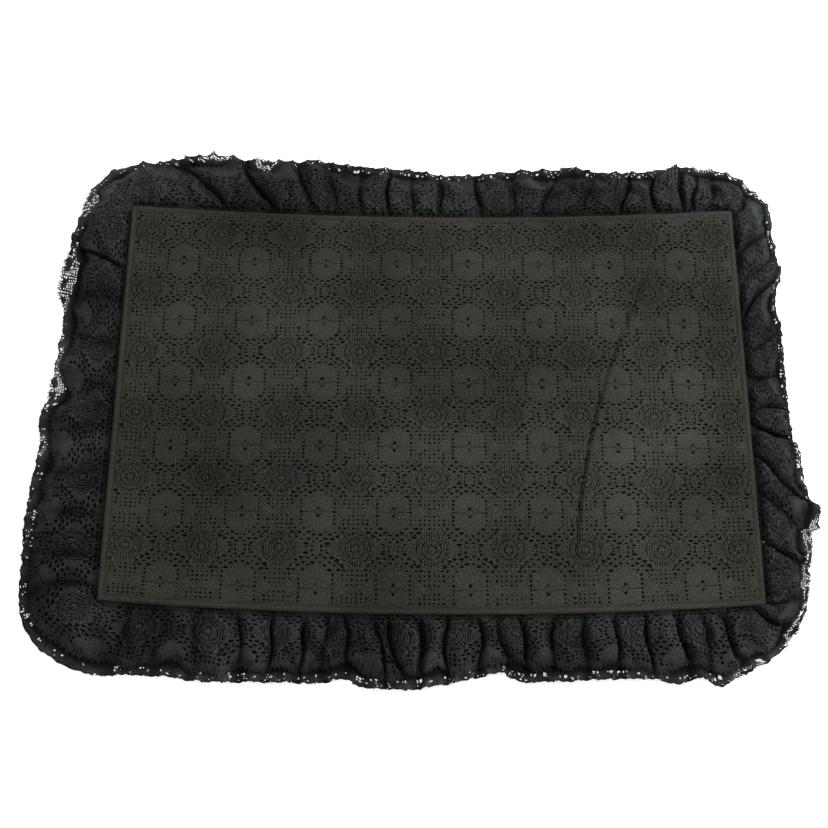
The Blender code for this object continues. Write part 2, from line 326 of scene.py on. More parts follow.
def flat_area(piece):
    """The area of a piece's cloth as it was cut, its openings left out, from the flat cloth's coordinates.

    A flat quad's area is half of the cross product of its diagonals.
    """
    flat = np.empty(2 * len(piece.data.loops), np.float32)
    piece.data.uv_layers["cloth"].data.foreach_get("uv", flat)
    corners = flat.reshape(-1, 4, 2).astype(float)
    first = corners[:, 2] - corners[:, 0]
    second = corners[:, 3] - corners[:, 1]
    return float(np.abs(first[:, 0] * second[:, 1] - first[:, 1] * second[:, 0]).sum() / 2)


def smooth(value):
    """0 up to 0, 1 from 1 on, and eased in between."""
    value = np.clip(value, 0, 1)
    return value * value * (3 - 2 * value)


def bump(value, width):
    """A smooth hump that is 1 at 0."""
    return np.exp(-(value / width) ** 2)


def bent(x, y):
    """Where a point of the straight mat lies: its edges bow towards -Y, but the lace's grain is straight."""
    near_edge = smooth((np.abs(y) - 0.6 * HALF_Y) / (0.4 * HALF_Y))
    return x + MIDDLE_X, y + MIDDLE_Y - BEND * near_edge * (1 - (x / HALF_X) ** 2)


# ---- The panel ----
EDGE_TOP = 4.3 * MM  # top of the lace at the turned edge, above the table
MIDDLE_TOP = 2.15 * MM
LEAST_TOP = 1.25 * MM  # where the face lies on the cloths under it
LOWEST = 0.35 * MM  # for the edge that is turned down
FALL_IN, FALL = 5 * MM, 20 * MM  # it falls to the middle from this far inside its edge, over this far
FOLD_RADIUS = 1.1 * MM  # of the turned edge
TURNED = 3.6 * MM  # cloth past the edge, turned down round it
TURNED_ROWS = 14  # of fine cells at each edge, for the fold
STITCH_IN = 3.9 * MM  # topstitch, inside the edge
GROOVE_DEEP, GROOVE_WIDE = 0.70 * MM, 0.8 * MM  # along the topstitch
RIM_IN, RIM_HIGH, RIM_WIDE = 1.9 * MM, 0.12 * MM, 1.3 * MM  # between topstitch and edge
LINING_IN = 1.5 * MM  # edge of the lining cloth, inside the panel's
LINING_DOWN = 0.62 * MM  # below the face
FLOWER_X, FLOWER_Y = 26.6 * MM, 8.6 * MM  # a flower stands here, where the cut happened to put it
CREASE_END = 128 * MM  # the long crease fades out before this y, both ways
CREASE_HIGH, CREASE_TAIL = 2.8 * MM, 9 * MM  # its bank, and how soon the cloth settles behind it
CREASE_DEEP, CREASE_WIDE = 0.5 * MM, 2.0 * MM  # the groove at the bank's foot
DENT_X, DENT_Y, DENT_SLOPE = -203 * MM, -104 * MM, 0.25  # a small dent near one corner


def crease_line(y):
    """Where the long crease runs, as x for each y, both from the panel's middle."""
    y = y / MM
    return (123 + 0.303 * y + 0.00097 * y * y) * MM


def panel_height(x, y):
    """Height of the panel's face above the table: turned edge, stitch groove, crease, dent and slack."""
    inside = np.maximum(np.minimum(HALF_X - np.abs(x), HALF_Y - np.abs(y)), 0)
    drop = smooth((inside - FALL_IN) / FALL)
    height = EDGE_TOP + (MIDDLE_TOP - EDGE_TOP) * drop
    height -= GROOVE_DEEP * bump(inside - STITCH_IN, GROOVE_WIDE)
    height += RIM_HIGH * bump(inside - RIM_IN, RIM_WIDE)

    # the crease: a bank that is steep on one side, more gently so further up
    off = (x - crease_line(y)) * 0.96
    strength = (np.clip((y + CREASE_END) / (30 * MM), 0, 1)
                * np.clip((CREASE_END - y) / (35 * MM), 0, 1))
    steep = 3.0 * MM + 6 * MM * np.clip((y - 30 * MM) / (50 * MM), 0, 1)
    height += CREASE_HIGH * strength * smooth(off / steep + 0.4) * np.exp(-np.maximum(off, 0) / CREASE_TAIL)
    height -= CREASE_DEEP * strength * bump(off + 1.2 * MM, CREASE_WIDE)

    # the dent: a short slanting groove with a low bank above it
    dent_x = x - DENT_X
    dent_y = y - DENT_Y - DENT_SLOPE * dent_x
    height -= 0.9 * MM * bump(dent_y, 2.6 * MM) * bump(dent_x, 15 * MM)
    height += 0.6 * MM * bump(dent_y - 5 * MM, 4 * MM) * bump(dent_x, 17 * MM)

    # the cloth's slack, in millimetres
    slack = (0.34 * np.sin(x / (31 * MM) + 1.3 * np.sin(y / (47 * MM)))
             + 0.26 * np.sin(y / (24 * MM) + 1.1 * np.sin(x / (39 * MM)) + 2.0)
             + 0.16 * np.sin((x + 1.7 * y) / (15 * MM)))
    return np.maximum(height + slack * drop * MM, LEAST_TOP)


def place_panel(x, y, rise):
    """A flat point of the lace face, past the edge turned down round the fold."""
    held_x, held_y = np.clip(x, -HALF_X, HALF_X), np.clip(y, -HALF_Y, HALF_Y)
    over_x, over_y = x - held_x, y - held_y
    over = np.hypot(over_x, over_y)
    angle = np.clip(over / FOLD_RADIUS, 0, math.pi / 2)
    out = FOLD_RADIUS * np.sin(angle) - FOLD_RADIUS
    down = FOLD_RADIUS * (1 - np.cos(angle)) + np.maximum(over - FOLD_RADIUS * math.pi / 2, 0)
    # the last of the face eases into the fold
    ease_x = np.clip((np.abs(held_x) - HALF_X + FOLD_RADIUS) / FOLD_RADIUS, 0, 1)
    ease_y = np.clip((np.abs(held_y) - HALF_Y + FOLD_RADIUS) / FOLD_RADIUS, 0, 1)
    flat_x = held_x - np.sign(held_x) * FOLD_RADIUS * ease_x * (over_x == 0)
    flat_y = held_y - np.sign(held_y) * FOLD_RADIUS * ease_y * (over_y == 0)
    share = np.maximum(over, 1e-9)
    flat_x = np.where(over_x != 0, held_x + out * np.abs(over_x) / share * np.sign(over_x), flat_x)
    flat_y = np.where(over_y != 0, held_y + out * np.abs(over_y) / share * np.sign(over_y), flat_y)
    height = np.maximum(panel_height(held_x, held_y) - down + rise, LOWEST)
    world_x, world_y = bent(flat_x, flat_y)
    return np.stack([world_x, world_y, height], 1)


def build_face_lace():
    """The lace face: even cells over the panel, finer ones with no openings over its turned edge."""
    fine = TURNED_ROWS
    us = grid_lines(-HALF_X - TURNED, HALF_X + TURNED, CELL_X, fine_count=fine)
    vs = grid_lines(-HALF_Y - TURNED, HALF_Y + TURNED, CELL_Y, fine_count=fine)
    flower_a = round((FLOWER_X - us[fine]) / CELL_X - 0.5)
    flower_b = round((FLOWER_Y - vs[fine]) / CELL_Y - 0.5)
    cells = TILE.taken(np.arange(len(us) - 1) - fine - flower_a, np.arange(len(vs) - 1) - fine - flower_b)
    for strip in (np.s_[:fine], np.s_[-fine:], np.s_[:, :fine], np.s_[:, -fine:]):
        cells.kind[strip] = SOLID
        cells.rise[strip] = 0.0
    return lace_mesh("lace_face", us, vs, cells, place_panel, seed=11)


def build_lining():
    """The plain cloth behind the lace."""
    us = np.linspace(-HALF_X + LINING_IN, HALF_X - LINING_IN, 150)
    vs = np.linspace(-HALF_Y + LINING_IN, HALF_Y - LINING_IN, 100)
    return plain_sheet("lining_cloth", us, vs,
                       lambda x, y: np.stack([*bent(x, y), panel_height(x, y) - LINING_DOWN], 1))


def grid_quads(columns, rows):
    """The quads of a grid with this many points each way."""
    index = np.arange(columns * rows).reshape(columns, rows)
    return np.stack([index[:-1, :-1], index[1:, :-1], index[1:, 1:], index[:-1, 1:]], -1).reshape(-1, 4)


def plain_sheet(name, us, vs, place):
    """A sheet with no openings, where place(u, v) says where each point of the flat cloth lies."""
    u, v = (part.ravel() for part in np.meshgrid(us, vs, indexing="ij"))
    return mesh_from(name, place(u, v), grid_quads(len(us), len(vs)), np.stack([u, v], 1))


# ---- The frills ----
SEAM_RADIUS = 9 * MM  # the frills are sewn round the corners on this radius
FAN = 20 * MM  # folds are spaced along a line this far outside the seam
RUN_X, RUN_Y = HALF_X - SEAM_RADIUS, HALF_Y - SEAM_RADIUS
ARC = (SEAM_RADIUS + FAN) * math.pi / 2
WHOLE_WAY = 4 * (RUN_X + RUN_Y + ARC)
SIDE_START = {
    "right": 0.0,
    "top": 2 * RUN_Y + ARC,
    "left": 2 * RUN_Y + 2 * ARC + 2 * RUN_X,
    "bottom": 4 * RUN_Y + 3 * ARC + 2 * RUN_X,
}
FRILL_WIDE = 50 * MM  # the lower frill's lace, flat, from the seam to its free edge
FRILL_HEADING = 3 * MM  # lace inside the seam
UPPER_SHARE = 0.86  # how wide the upper frill is, as a share of the lower one
FRILL_LOWEST = 0.05 * MM  # above the table
TURN_SHARE = 0.76  # where the lower frill's edge turns under, as a share of its width
NET_SMALLEST, NET_LARGEST = 0.50, 0.76  # the size of the openings in the net along its edge

# What differs between the frills: the lower one first, then the upper one
SHARES = (1.0, UPPER_SHARE)
OPENNESS = (1.0, 1.35)  # the size of the openings, against the panel's
ROSETTES_OUT = (25 * MM, 15 * MM)  # the first row of rosettes, from the seam
FIRST_COLUMN = (17, 4)  # of the pattern, where the strip's ends join


def way_of(side, at):
    """How far round the mat a place on a side is, counter-clockwise from the right side's lower end.

    at is in millimetres from the side's middle: y on the short sides, x on the long ones.
    """
    run = RUN_Y if side in ("right", "left") else RUN_X
    forward = at * MM if side in ("right", "bottom") else -at * MM
    return SIDE_START[side] + run + forward


def seam(way):
    """Points of the frills' seam and the ways out from it, all round the mat."""
    way = way % WHOLE_WAY
    x, y = np.zeros_like(way), np.zeros_like(way)
    out_x, out_y = np.zeros_like(way), np.zeros_like(way)
    start = 0.0
    for turn in range(4):
        facing = turn * math.pi / 2
        run = RUN_Y if turn % 2 == 0 else RUN_X
        reach = HALF_X if turn % 2 == 0 else HALF_Y
        cos, sin = math.cos(facing), math.sin(facing)
        here = (way >= start) & (way < start + 2 * run)
        side = way[here] - start - run
        x[here], y[here] = cos * reach - sin * side, sin * reach + cos * side
        out_x[here], out_y[here] = cos, sin
        start += 2 * run
        here = (way >= start) & (way < start + ARC)
        angle = facing + math.pi / 2 * (way[here] - start) / ARC
        corner_x = RUN_X * (1 if turn in (0, 3) else -1)
        corner_y = RUN_Y * (1 if turn in (0, 1) else -1)
        out_x[here], out_y[here] = np.cos(angle), np.sin(angle)
        x[here] = corner_x + SEAM_RADIUS * out_x[here]
        y[here] = corner_y + SEAM_RADIUS * out_y[here]
        start += ARC
    return x, y, out_x, out_y


# Each side's fold lines: where one leaves the seam and where it meets the free edge (mm from the side's
# middle), how deep it is, how far its bank flops over it (mm), and how wide it is (mm).
FOLD_LINES = {
    "right": [
        (-106, -132, 0.9, 4, 2.2), (-72, -108, 0.5, 2, 1.8), (-44, -87, 1, 5, 2),
        (-22, -32, 0.9, -4, 1.8), (-12, -8, 0.7, 3, 1.6), (15, 15, 0.6, 2.5, 1.4),
        (34, 52, 0.5, 3, 1.5), (60, 105, 1, 3, 3.6), (88, 122, 0.6, 3, 1.6),
        (112, 138, 0.8, 4, 2.4), (156, 168, 0.6, 3, 2.2),
    ],
    "top": [
        (212, 216, 0.7, -3, 2), (200, 203, 0.8, 3, 1.8), (190, 192, 0.9, -3, 2.4),
        (170, 170, 0.9, 4, 2.4), (145, 153, 0.9, 4.5, 2), (116, 125, 0.5, 2, 1.6),
        (83, 97, 0.9, 5, 2.2), (60, 64, 0.5, -2, 1.6), (36, 33, 0.9, -4, 1.8), (7, 3, 0.8, 3, 3),
        (-15, -14, 0.5, 2, 1.6), (-33, -31, 0.9, 4, 1.8), (-55, -54, 0.6, -2.5, 1.6),
        (-73, -78, 0.5, 2, 1.6), (-90, -106, 0.7, 3, 2.2), (-118, -150, 1, 4, 3.2),
        (-155, -196, 0.9, 4, 3),
    ],
    "left": [
        (100, 116, 0.9, 4, 2.2), (72, 78, 0.3, 2, 2.2), (40, 44, 0.35, 2, 2.6), (8, 6, 0.3, 2, 2.4),
        (-28, -30, 0.4, -2, 2.6), (-58, -62, 0.3, 2, 2.2), (-92, -90, 0.45, 2.5, 2.6),
        (-120, -122, 0.35, 2, 2.2), (-142, -146, 0.5, 2.5, 2.4),
    ],
    "bottom": [
        (-206, -214, 0.5, 2, 2.4), (-182, -190, 0.4, 2, 2), (-160, -165, 0.5, 2, 2.2),
        (-131, -130, 0.7, 3, 2), (-108, -112, 0.8, 3, 1.7), (-86, -92, 0.9, 4, 1.8),
        (-72, -74, 0.6, 2.5, 1.5), (-60, -55, 1, 4, 1.9), (-40, -27, 0.9, -4, 1.6),
        (-31, -17, 0.9, 3, 1.6), (-9, -7, 1, 3.5, 3), (11, 10, 0.9, -3.5, 1.8),
        (32, 32, 0.9, 4, 1.7), (45, 50, 0.6, 2.5, 1.4), (58, 67, 1, 4.5, 2), (84, 80, 0.8, -3, 1.8),
        (104, 102, 0.7, 2.5, 1.7), (124, 124, 0.9, 4, 1.7), (145, 148, 0.8, 3, 1.7),
        (166, 173, 1.1, 5, 2.3), (182, 190, 0.5, 2.5, 1.5), (196, 211, 1, 5, 2.4),
        (222, 246, 0.9, 4, 2.2), (242, 266, 0.7, 3, 2.2),
    ],
}

# How far the lower frill reaches out from the seam on each side: place and reach, both in mm. A place past
# the end of its side's straight run lies round the corner.
REACHES = {
    "right": [
        (-140, 32), (-120, 36), (-99, 38), (-97, 45), (-80, 44), (-76, 38), (-56, 35), (-42, 36), (-28, 29),
        (28, 29), (56, 30), (70, 26), (84, 28), (98, 34), (112, 31), (140, 29), (152, 30), (166, 29),
        (182, 34),
    ],
    "top": [
        (210, 39), (190, 42), (170, 37), (130, 38), (110, 43), (70, 41), (30, 37), (10, 36), (-10, 41),
        (-50, 43), (-90, 48), (-110, 46), (-150, 48), (-170, 52), (-190, 45), (-210, 39), (-228, 36),
        (-242, 35), (-258, 36),
    ],
    "left": [
        (140, 40), (120, 44), (100, 48), (80, 51), (60, 44), (40, 46), (0, 49), (-20, 53), (-60, 53),
        (-100, 56), (-140, 54), (-160, 56), (-176, 52),
    ],
    "bottom": [
        (-210, 49), (-180, 48), (-150, 50), (-105, 48), (-75, 48), (-60, 44), (-45, 50), (-15, 51),
        (15, 46), (45, 39), (60, 46), (120, 45), (150, 46), (165, 51), (180, 46), (195, 54), (210, 48),
        (226, 39), (240, 32), (256, 31),
    ],
}

# Where the lower frill's free edge has curled under (1) or lies open (0)
CURLS = {
    "right": [
        (-140, 0.2), (-120, 0.4), (-100, 0.15), (-84, 0.9), (-60, 0.4), (-40, 0.5), (-20, 1), (130, 1),
        (151, 0.8), (166, 0.3), (182, 0.7),
    ],
    "top": [
        (205, 0.5), (185, 1), (105, 1), (90, 0.5), (76, 1), (-112, 1), (-130, 0.1), (-150, 0.8),
        (-170, 0.3), (-190, 1), (-250, 1),
    ],
    "left": [
        (151, 0), (138, 0.5), (122, 0.8), (100, 0), (80, 0.2), (60, 0.7), (40, 0.4), (20, 0.6),
        (0, 0.1), (-20, 1), (-40, 0.4), (-60, 0.8), (-80, 1),
    ],
    "bottom": [
        (180, 1), (210, 0.4), (226, 0.7), (242, 0.2), (257, 0.5),
    ],
}


def table_along(entries):
    """A value at places round the mat, as two arrays in order."""
    pairs = sorted((way_of(side, at), value) for side, places in entries.items() for at, value in places)
    return tuple(np.array(part) for part in zip(*pairs))


REACH_TABLE = table_along({side: [(at, reach * MM) for at, reach in places]
                           for side, places in REACHES.items()})
CURL_TABLE = table_along(CURLS)


def from_table(table, way):
    """The table's value at each place round the mat."""
    return np.interp(way % WHOLE_WAY, *table, period=WHOLE_WAY)


class Gathers:
    """The folds of the frills: a fold number runs along them, and is whole at each fold line.

    The arrays hold each fold line's places, depth, flop and width, then how plump the cloth after it is,
    where out from the seam it's highest, and how the line wanders. They repeat past both ends.
    """

    def __init__(self):
        lines = sorted((way_of(side, a), way_of(side, b), deep, flop * MM, wide * MM)
                       for side, places in FOLD_LINES.items() for a, b, deep, flop, wide in places)
        self.count = len(lines)
        table = [self.moved(lines[-1], -WHOLE_WAY)] + lines
        table += [self.moved(line, WHOLE_WAY) for line in lines[:2]]
        self.at_seam, self.at_edge, self.deep, self.flop, self.wide = np.array(table).T
        dice = np.random.default_rng(5)
        self.plump, self.peak, self.phase = (
            np.concatenate([part[-1:], part, part[:2]])
            for part in dice.uniform((0.7, 0.24, 0), (1.15, 0.5, 6.28), (self.count, 3)).T)

    @staticmethod
    def moved(line, by):
        """The same fold line, further round the mat."""
        return (line[0] + by, line[1] + by, *line[2:])


GATHERS = Gathers()


def slot(value, width):
    """A steep-sided slot that is 1 at 0."""
    return np.exp(-(1.15 * value / width) ** 4)


def crumple(way, out):
    """Small creases with no order to them, in -1 to 1."""
    a, b = way / MM, 45 * out
    return (0.40 * np.sin(a / 2.9 + 1.6 * np.sin(b / 9.0) + 0.9 * np.sin(a / 17.0))
            + 0.34 * np.sin(a / 4.7 - b / 4.2 + 1.3 * np.sin(a / 11.0 + 2.0))
            + 0.26 * np.sin(a / 7.3 + b / 3.6 + 1.1 * np.sin(a / 13.0)))


def fold_line(cell, out):
    """Where a fold line runs, out from the seam, with a little wander."""
    at_seam, at_edge = GATHERS.at_seam[cell], GATHERS.at_edge[cell]
    wander = 1.8 * MM * np.sin(5.5 * out + GATHERS.phase[cell]) * np.clip(out / 0.3, 0, 1)
    return at_seam + (at_edge - at_seam) * out ** 1.15 + wander


def fold_cell(fold):
    """Which of the fold lines in GATHERS comes before each fold number."""
    return np.clip(np.floor(fold).astype(int) + 1, 0, GATHERS.count + 1)


def way_at(fold, out):
    """How far round the mat a fold number is, at this share of the reach."""
    cell = fold_cell(fold)
    left = fold_line(cell, out)
    return left + (fold - np.floor(fold)) * (fold_line(cell + 1, out) - left)


def rise_and_settle(out, peak):
    """A swelling that is 0 at the seam, 1 at its peak, and falls slowly past it."""
    return out / peak * np.exp(1 - out / peak)


class FoldPlace:
    """Where points of a frill lie among its folds, and how the cloth stands there."""

    def __init__(self, fold, out):
        cell, part = fold_cell(fold), fold - np.floor(fold)
        left, right = fold_line(cell, out), fold_line(cell + 1, out)
        space = np.maximum(right - left, 1 * MM)
        self.straight = left + part * space
        from_left, from_right = part * space, (1 - part) * space
        dip_left = GATHERS.deep[cell] * slot(from_left, GATHERS.wide[cell])
        dip_right = GATHERS.deep[cell + 1] * slot(from_right, GATHERS.wide[cell + 1])
        dip = np.clip(1.15 * np.maximum(dip_left, dip_right), 0, 1)
        depth = GATHERS.deep[cell] * (1 - part) + GATHERS.deep[cell + 1] * part
        self.lively = np.clip(depth, 0, 1)
        self.small = crumple(self.straight, out) * (0.5 + 0.5 * self.lively) * (1 - 0.6 * dip)

        # puff: how high the cloth stands between its fold lines, with small pleats close to the seam
        narrow = np.clip(space / (16 * MM), 0.45, 1)
        crown = 0.50 + 0.50 * np.sin(math.pi * part)
        peak = GATHERS.peak[cell] * (1 - part) + GATHERS.peak[cell + 1] * part
        self.grown = smooth(out / 0.16)
        fullness = (1.6 + 6.4 * self.lively) * MM * GATHERS.plump[cell] * narrow
        pleats = 0.5 + 0.5 * np.sin(self.straight / (0.85 * MM) + 2.5 * np.sin(self.straight / (7 * MM)))
        puff = fullness * crown * (0.30 + 0.70 * rise_and_settle(out, peak)) * (1 - dip) * self.grown
        self.puff = puff + 1.2 * MM * pleats * rise_and_settle(out, 0.1) * np.clip(depth, 0.3, 1)

        # each fold's bank flops over its groove
        bank = np.where(from_left < from_right,
                        0.5 * GATHERS.flop[cell] * bump(from_left, 2.6 * GATHERS.wide[cell]),
                        0.5 * GATHERS.flop[cell + 1] * bump(from_right, 2.6 * GATHERS.wide[cell + 1]))
        self.way = self.straight + bank * np.clip(self.puff / (5 * MM), 0, 1)

        ragged = (1.0 * MM * crumple(1.8 * self.straight, 0 * out)
                  + 0.5 * MM * np.sin(self.straight / (0.62 * MM)))
        self.reach = from_table(REACH_TABLE, self.straight) + ragged * out ** 3
        self.curl = smooth(from_table(CURL_TABLE, self.straight) * 1.4 - 0.2)


def lie_of_upper(at, out):
    """How far out from the seam the upper frill's points are, and how high."""
    height = 1.5 * MM + 1.3 * MM * (1 - np.clip(out / 0.08, 0, 1)) ** 2 + at.puff
    height = height + 2.0 * MM * (at.small + 0.3) * at.grown
    height = height - 0.45 * np.maximum(height - 2.2 * MM, 0) * smooth((out - 0.60) / 0.26)
    stray = 0.07 * np.sin(at.straight / (13 * MM) + 2 * np.sin(at.straight / (31 * MM)))
    stray = stray + 0.10 * crumple(0.8 * at.straight, 0 * out + 0.4)
    far = out * at.reach * (1 + stray * smooth(out / UPPER_SHARE)) * (0.84 + 0.16 * at.curl)
    return far, height


def lie_of_lower(at, out, ruffle):
    """How far out the lower frill's points are, and how high: it ruffles at its edge, or curls under."""
    outer = smooth((out - 0.68) / 0.17)
    height = 0.35 * MM + 1.3 * MM * (1 - np.clip(out / 0.06, 0, 1)) ** 2
    height = height + (0.82 - 0.32 * smooth((out - 0.5) / 0.2)) * at.puff
    lively = 0.35 + 0.65 * at.lively
    height = height + outer * (0.6 * MM + 4.2 * MM * (1 - np.abs(np.cos(ruffle / 2)) ** 1.6) * lively
                               + 1.2 * MM * (at.small + 0.3))
    turn = np.clip((out - TURN_SHARE) / (1 - TURN_SHARE), 0, 1)
    open_share = 0.85                # of the reach, where a curled edge comes to its outermost
    curled = np.where(out > TURN_SHARE, (TURN_SHARE + 0.09 * np.sin(math.pi * turn)) / open_share,
                      out / open_share)
    far = at.reach * ((1 - at.curl) * out + at.curl * curled)
    under = np.minimum(height - 0.3 * MM, 1.6 * MM)
    height = height - at.curl * under * 0.5 * (1 - np.cos(math.pi * turn))
    return far, height, outer * 1.7 * MM * lively * np.sin(ruffle)


def frill_point(fold, out, layer):
    """A point of a frill: fold is the fold number along it, out the share of the lower frill's reach.

    layer is 1 for the upper frill and 0 for the lower one. Gives x, y, z of the straight mat.
    """
    at = FoldPlace(fold, out)
    if layer:
        far, height = lie_of_upper(at, out)
        way = at.way
    else:
        ruffle = at.straight / (2.05 * MM) + 2.6 * np.sin(at.straight / (17 * MM))
        far, height, sideways = lie_of_lower(at, out, ruffle)
        way = at.way + sideways
    x, y, out_x, out_y = seam(way)
    return np.stack([x + far * out_x, y + far * out_y, height], -1)


def build_frill(name, layer):
    """A frill: a strip of lace as long as its folds take up, from its heading to its picot edge.

    Gives its piece, and the flat strip's length and width.
    """
    folds = np.linspace(0, GATHERS.count, GATHERS.count * 160 + 1)
    share = SHARES[layer]
    # the strip is as long as the folds are on average between the seam and the edge
    steps = [np.linalg.norm(np.diff(frill_point(folds, np.full_like(folds, out), layer), axis=0), axis=1)
             for out in np.linspace(0.1, 0.95, 6) * share]
    lengths = np.concatenate([[0], np.cumsum(np.mean(steps, axis=0))])
    wide = FRILL_WIDE * share
    us = np.linspace(0, lengths[-1], round(lengths[-1] / CELL_X) + 1)
    vs = grid_lines(-FRILL_HEADING, wide, CELL_Y)
    columns, rows = len(us) - 1, len(vs) - 1
    rosette_row = round((ROSETTES_OUT[layer] + FRILL_HEADING) / CELL_Y)
    cells = TILE.taken(np.arange(columns) + FIRST_COLUMN[layer], np.arange(rows) + TILE_B // 2 - rosette_row)
    edge_way = np.interp((us[:-1] + us[1:]) / 2, lengths, way_at(folds, 0.95))
    curl = from_table(CURL_TABLE, edge_way)
    net_rows = np.full(columns, 5)
    if not layer:
        # closed where the upper frill lies on it, so that dark cloth stands in as painted shade for the
        # shaded floor its openings would show; and nearly closed where its edge has curled under
        cells.kind[:, vs[1:] < 0.82 * wide] = SOLID
        at_turn = (vs[1:] > TURN_SHARE * wide)[None, :] & (curl > 0.62)[:, None]
        pricks = np.random.default_rng(17).random(cells.kind.shape) < 0.16
        cells.kind[at_turn] = np.where(pricks, HOLE, SOLID)[at_turn]
        net_rows = np.round(9 - 7 * smooth(1.25 * curl)).astype(int)
    cells.size *= OPENNESS[layer]
    finish_frill_edge(cells, net_rows, seed=31 + layer)

    def place(u, v, lift):
        fold = np.interp(u, lengths, folds)
        out = np.maximum(v, 0) / wide * share
        here = frill_point(fold, out, layer)
        ahead = frill_point(fold + 0.01, out, layer)
        outward = frill_point(fold, out + 0.01, layer)
        normal = np.cross(outward - here, ahead - here)
        normal /= np.maximum(np.linalg.norm(normal, axis=1, keepdims=True), 1e-9)
        normal *= np.where(normal[:, 2:3] < 0, -1, 1)
        # the heading runs straight on inside the seam
        way = np.interp(fold, np.arange(GATHERS.count + 3) - 1.0, GATHERS.at_seam)
        outward_x, outward_y = seam(way)[2:]
        here[:, 0] += np.minimum(v, 0) * outward_x
        here[:, 1] += np.minimum(v, 0) * outward_y
        here += normal * lift[:, None]
        here[:, 0], here[:, 1] = bent(here[:, 0], here[:, 1])
        here[:, 2] = np.maximum(here[:, 2], FRILL_LOWEST)
        return here

    piece = lace_mesh(name, us, vs, cells, place, seed=21 + layer)
    return piece, lengths[-1], wide + FRILL_HEADING


def finish_frill_edge(cells, net_rows, seed):
    """Net with little solid fans, then picots, along the frill's free edge."""
    dice = np.random.default_rng(seed)
    columns, rows = cells.kind.shape
    a = np.arange(columns)
    fan_every, fan_row = 8, 3.0
    for k in range(net_rows.max()):
        j = rows - 1 - k
        net = k < net_rows
        cells.kind[net, j] = np.where(dice.random(columns) < 0.14, SOLID, HOLE)[net]
        cells.size[net, j] = dice.uniform(NET_SMALLEST, NET_LARGEST, columns)[net]
        cells.rise[net, j] = 0.0
        fan = net & (np.hypot((a % fan_every - fan_every / 2) / 2.4, (k - fan_row) / 1.9) < 1)
        cells.kind[fan, j] = SOLID
        cells.rise[fan, j] = FAN_RISE
    cells.kind[:, rows - 1] = np.where(a % 2 == 0, GONE, HOLE)


# ---- Threads ----
def build_topstitch():
    """The row of stitches on the face, each one a short thread sunk into the lace at both ends."""
    long, gap, thick = 2.4 * MM, 0.7 * MM, 0.17 * MM
    raised = np.array([-0.23, 0.24, 0.32, 0.24, -0.23]) * MM    # its rings, against the face
    rings, sides = len(raised), 6
    half_x, half_y = HALF_X - STITCH_IN, HALF_Y - STITCH_IN
    rows = [((-half_x, -half_y), (1, 0), 2 * half_x), ((half_x, -half_y), (0, 1), 2 * half_y),
            ((half_x, half_y), (-1, 0), 2 * half_x), ((-half_x, half_y), (0, -1), 2 * half_y)]
    points, quads, used = [], [], 0
    ring = np.arange(sides) * 2 * math.pi / sides
    for (start_x, start_y), (way_x, way_y), length in rows:
        count = int(length / (long + gap))
        for k in range(count):
            along = (k + 0.5) * (length / count) + np.linspace(-0.5, 0.5, rings) * long
            x, y = start_x + way_x * along, start_y + way_y * along
            z = panel_height(x, y) + raised
            across = np.cos(ring) * thick
            up = np.sin(ring) * thick
            world_x, world_y = bent(x[:, None] + way_y * across, y[:, None] - way_x * across)
            points.append(np.stack([world_x, world_y, z[:, None] + up], -1).reshape(-1, 3))
            for a in range(rings - 1):
                for b in range(sides):
                    c = (b + 1) % sides
                    quads.append([used + a * sides + b, used + (a + 1) * sides + b,
                                  used + (a + 1) * sides + c, used + a * sides + c])
            used += rings * sides
    return mesh_from("topstitches", np.concatenate(points), np.array(quads))


# ---- Materials ----
def new_material(name):
    """A material, its node tree and its shader."""
    made = bpy.data.materials.new(name)
    made.use_nodes = True
    return made, made.node_tree, made.node_tree.nodes["Principled BSDF"]


def add(tree, kind, **values):
    """A new node. A value whose name starts with in_ is an input's, or what the input is linked to."""
    node = tree.nodes.new(kind)
    for key, value in values.items():
        if not key.startswith("in_"):
            setattr(node, key, value)
            continue
        name = key[3:].replace("_", " ")
        socket = node.inputs[int(name) if name.isdigit() else name]
        if isinstance(value, bpy.types.NodeSocket):
            tree.links.new(value, socket)
        else:
            socket.default_value = value
    return node


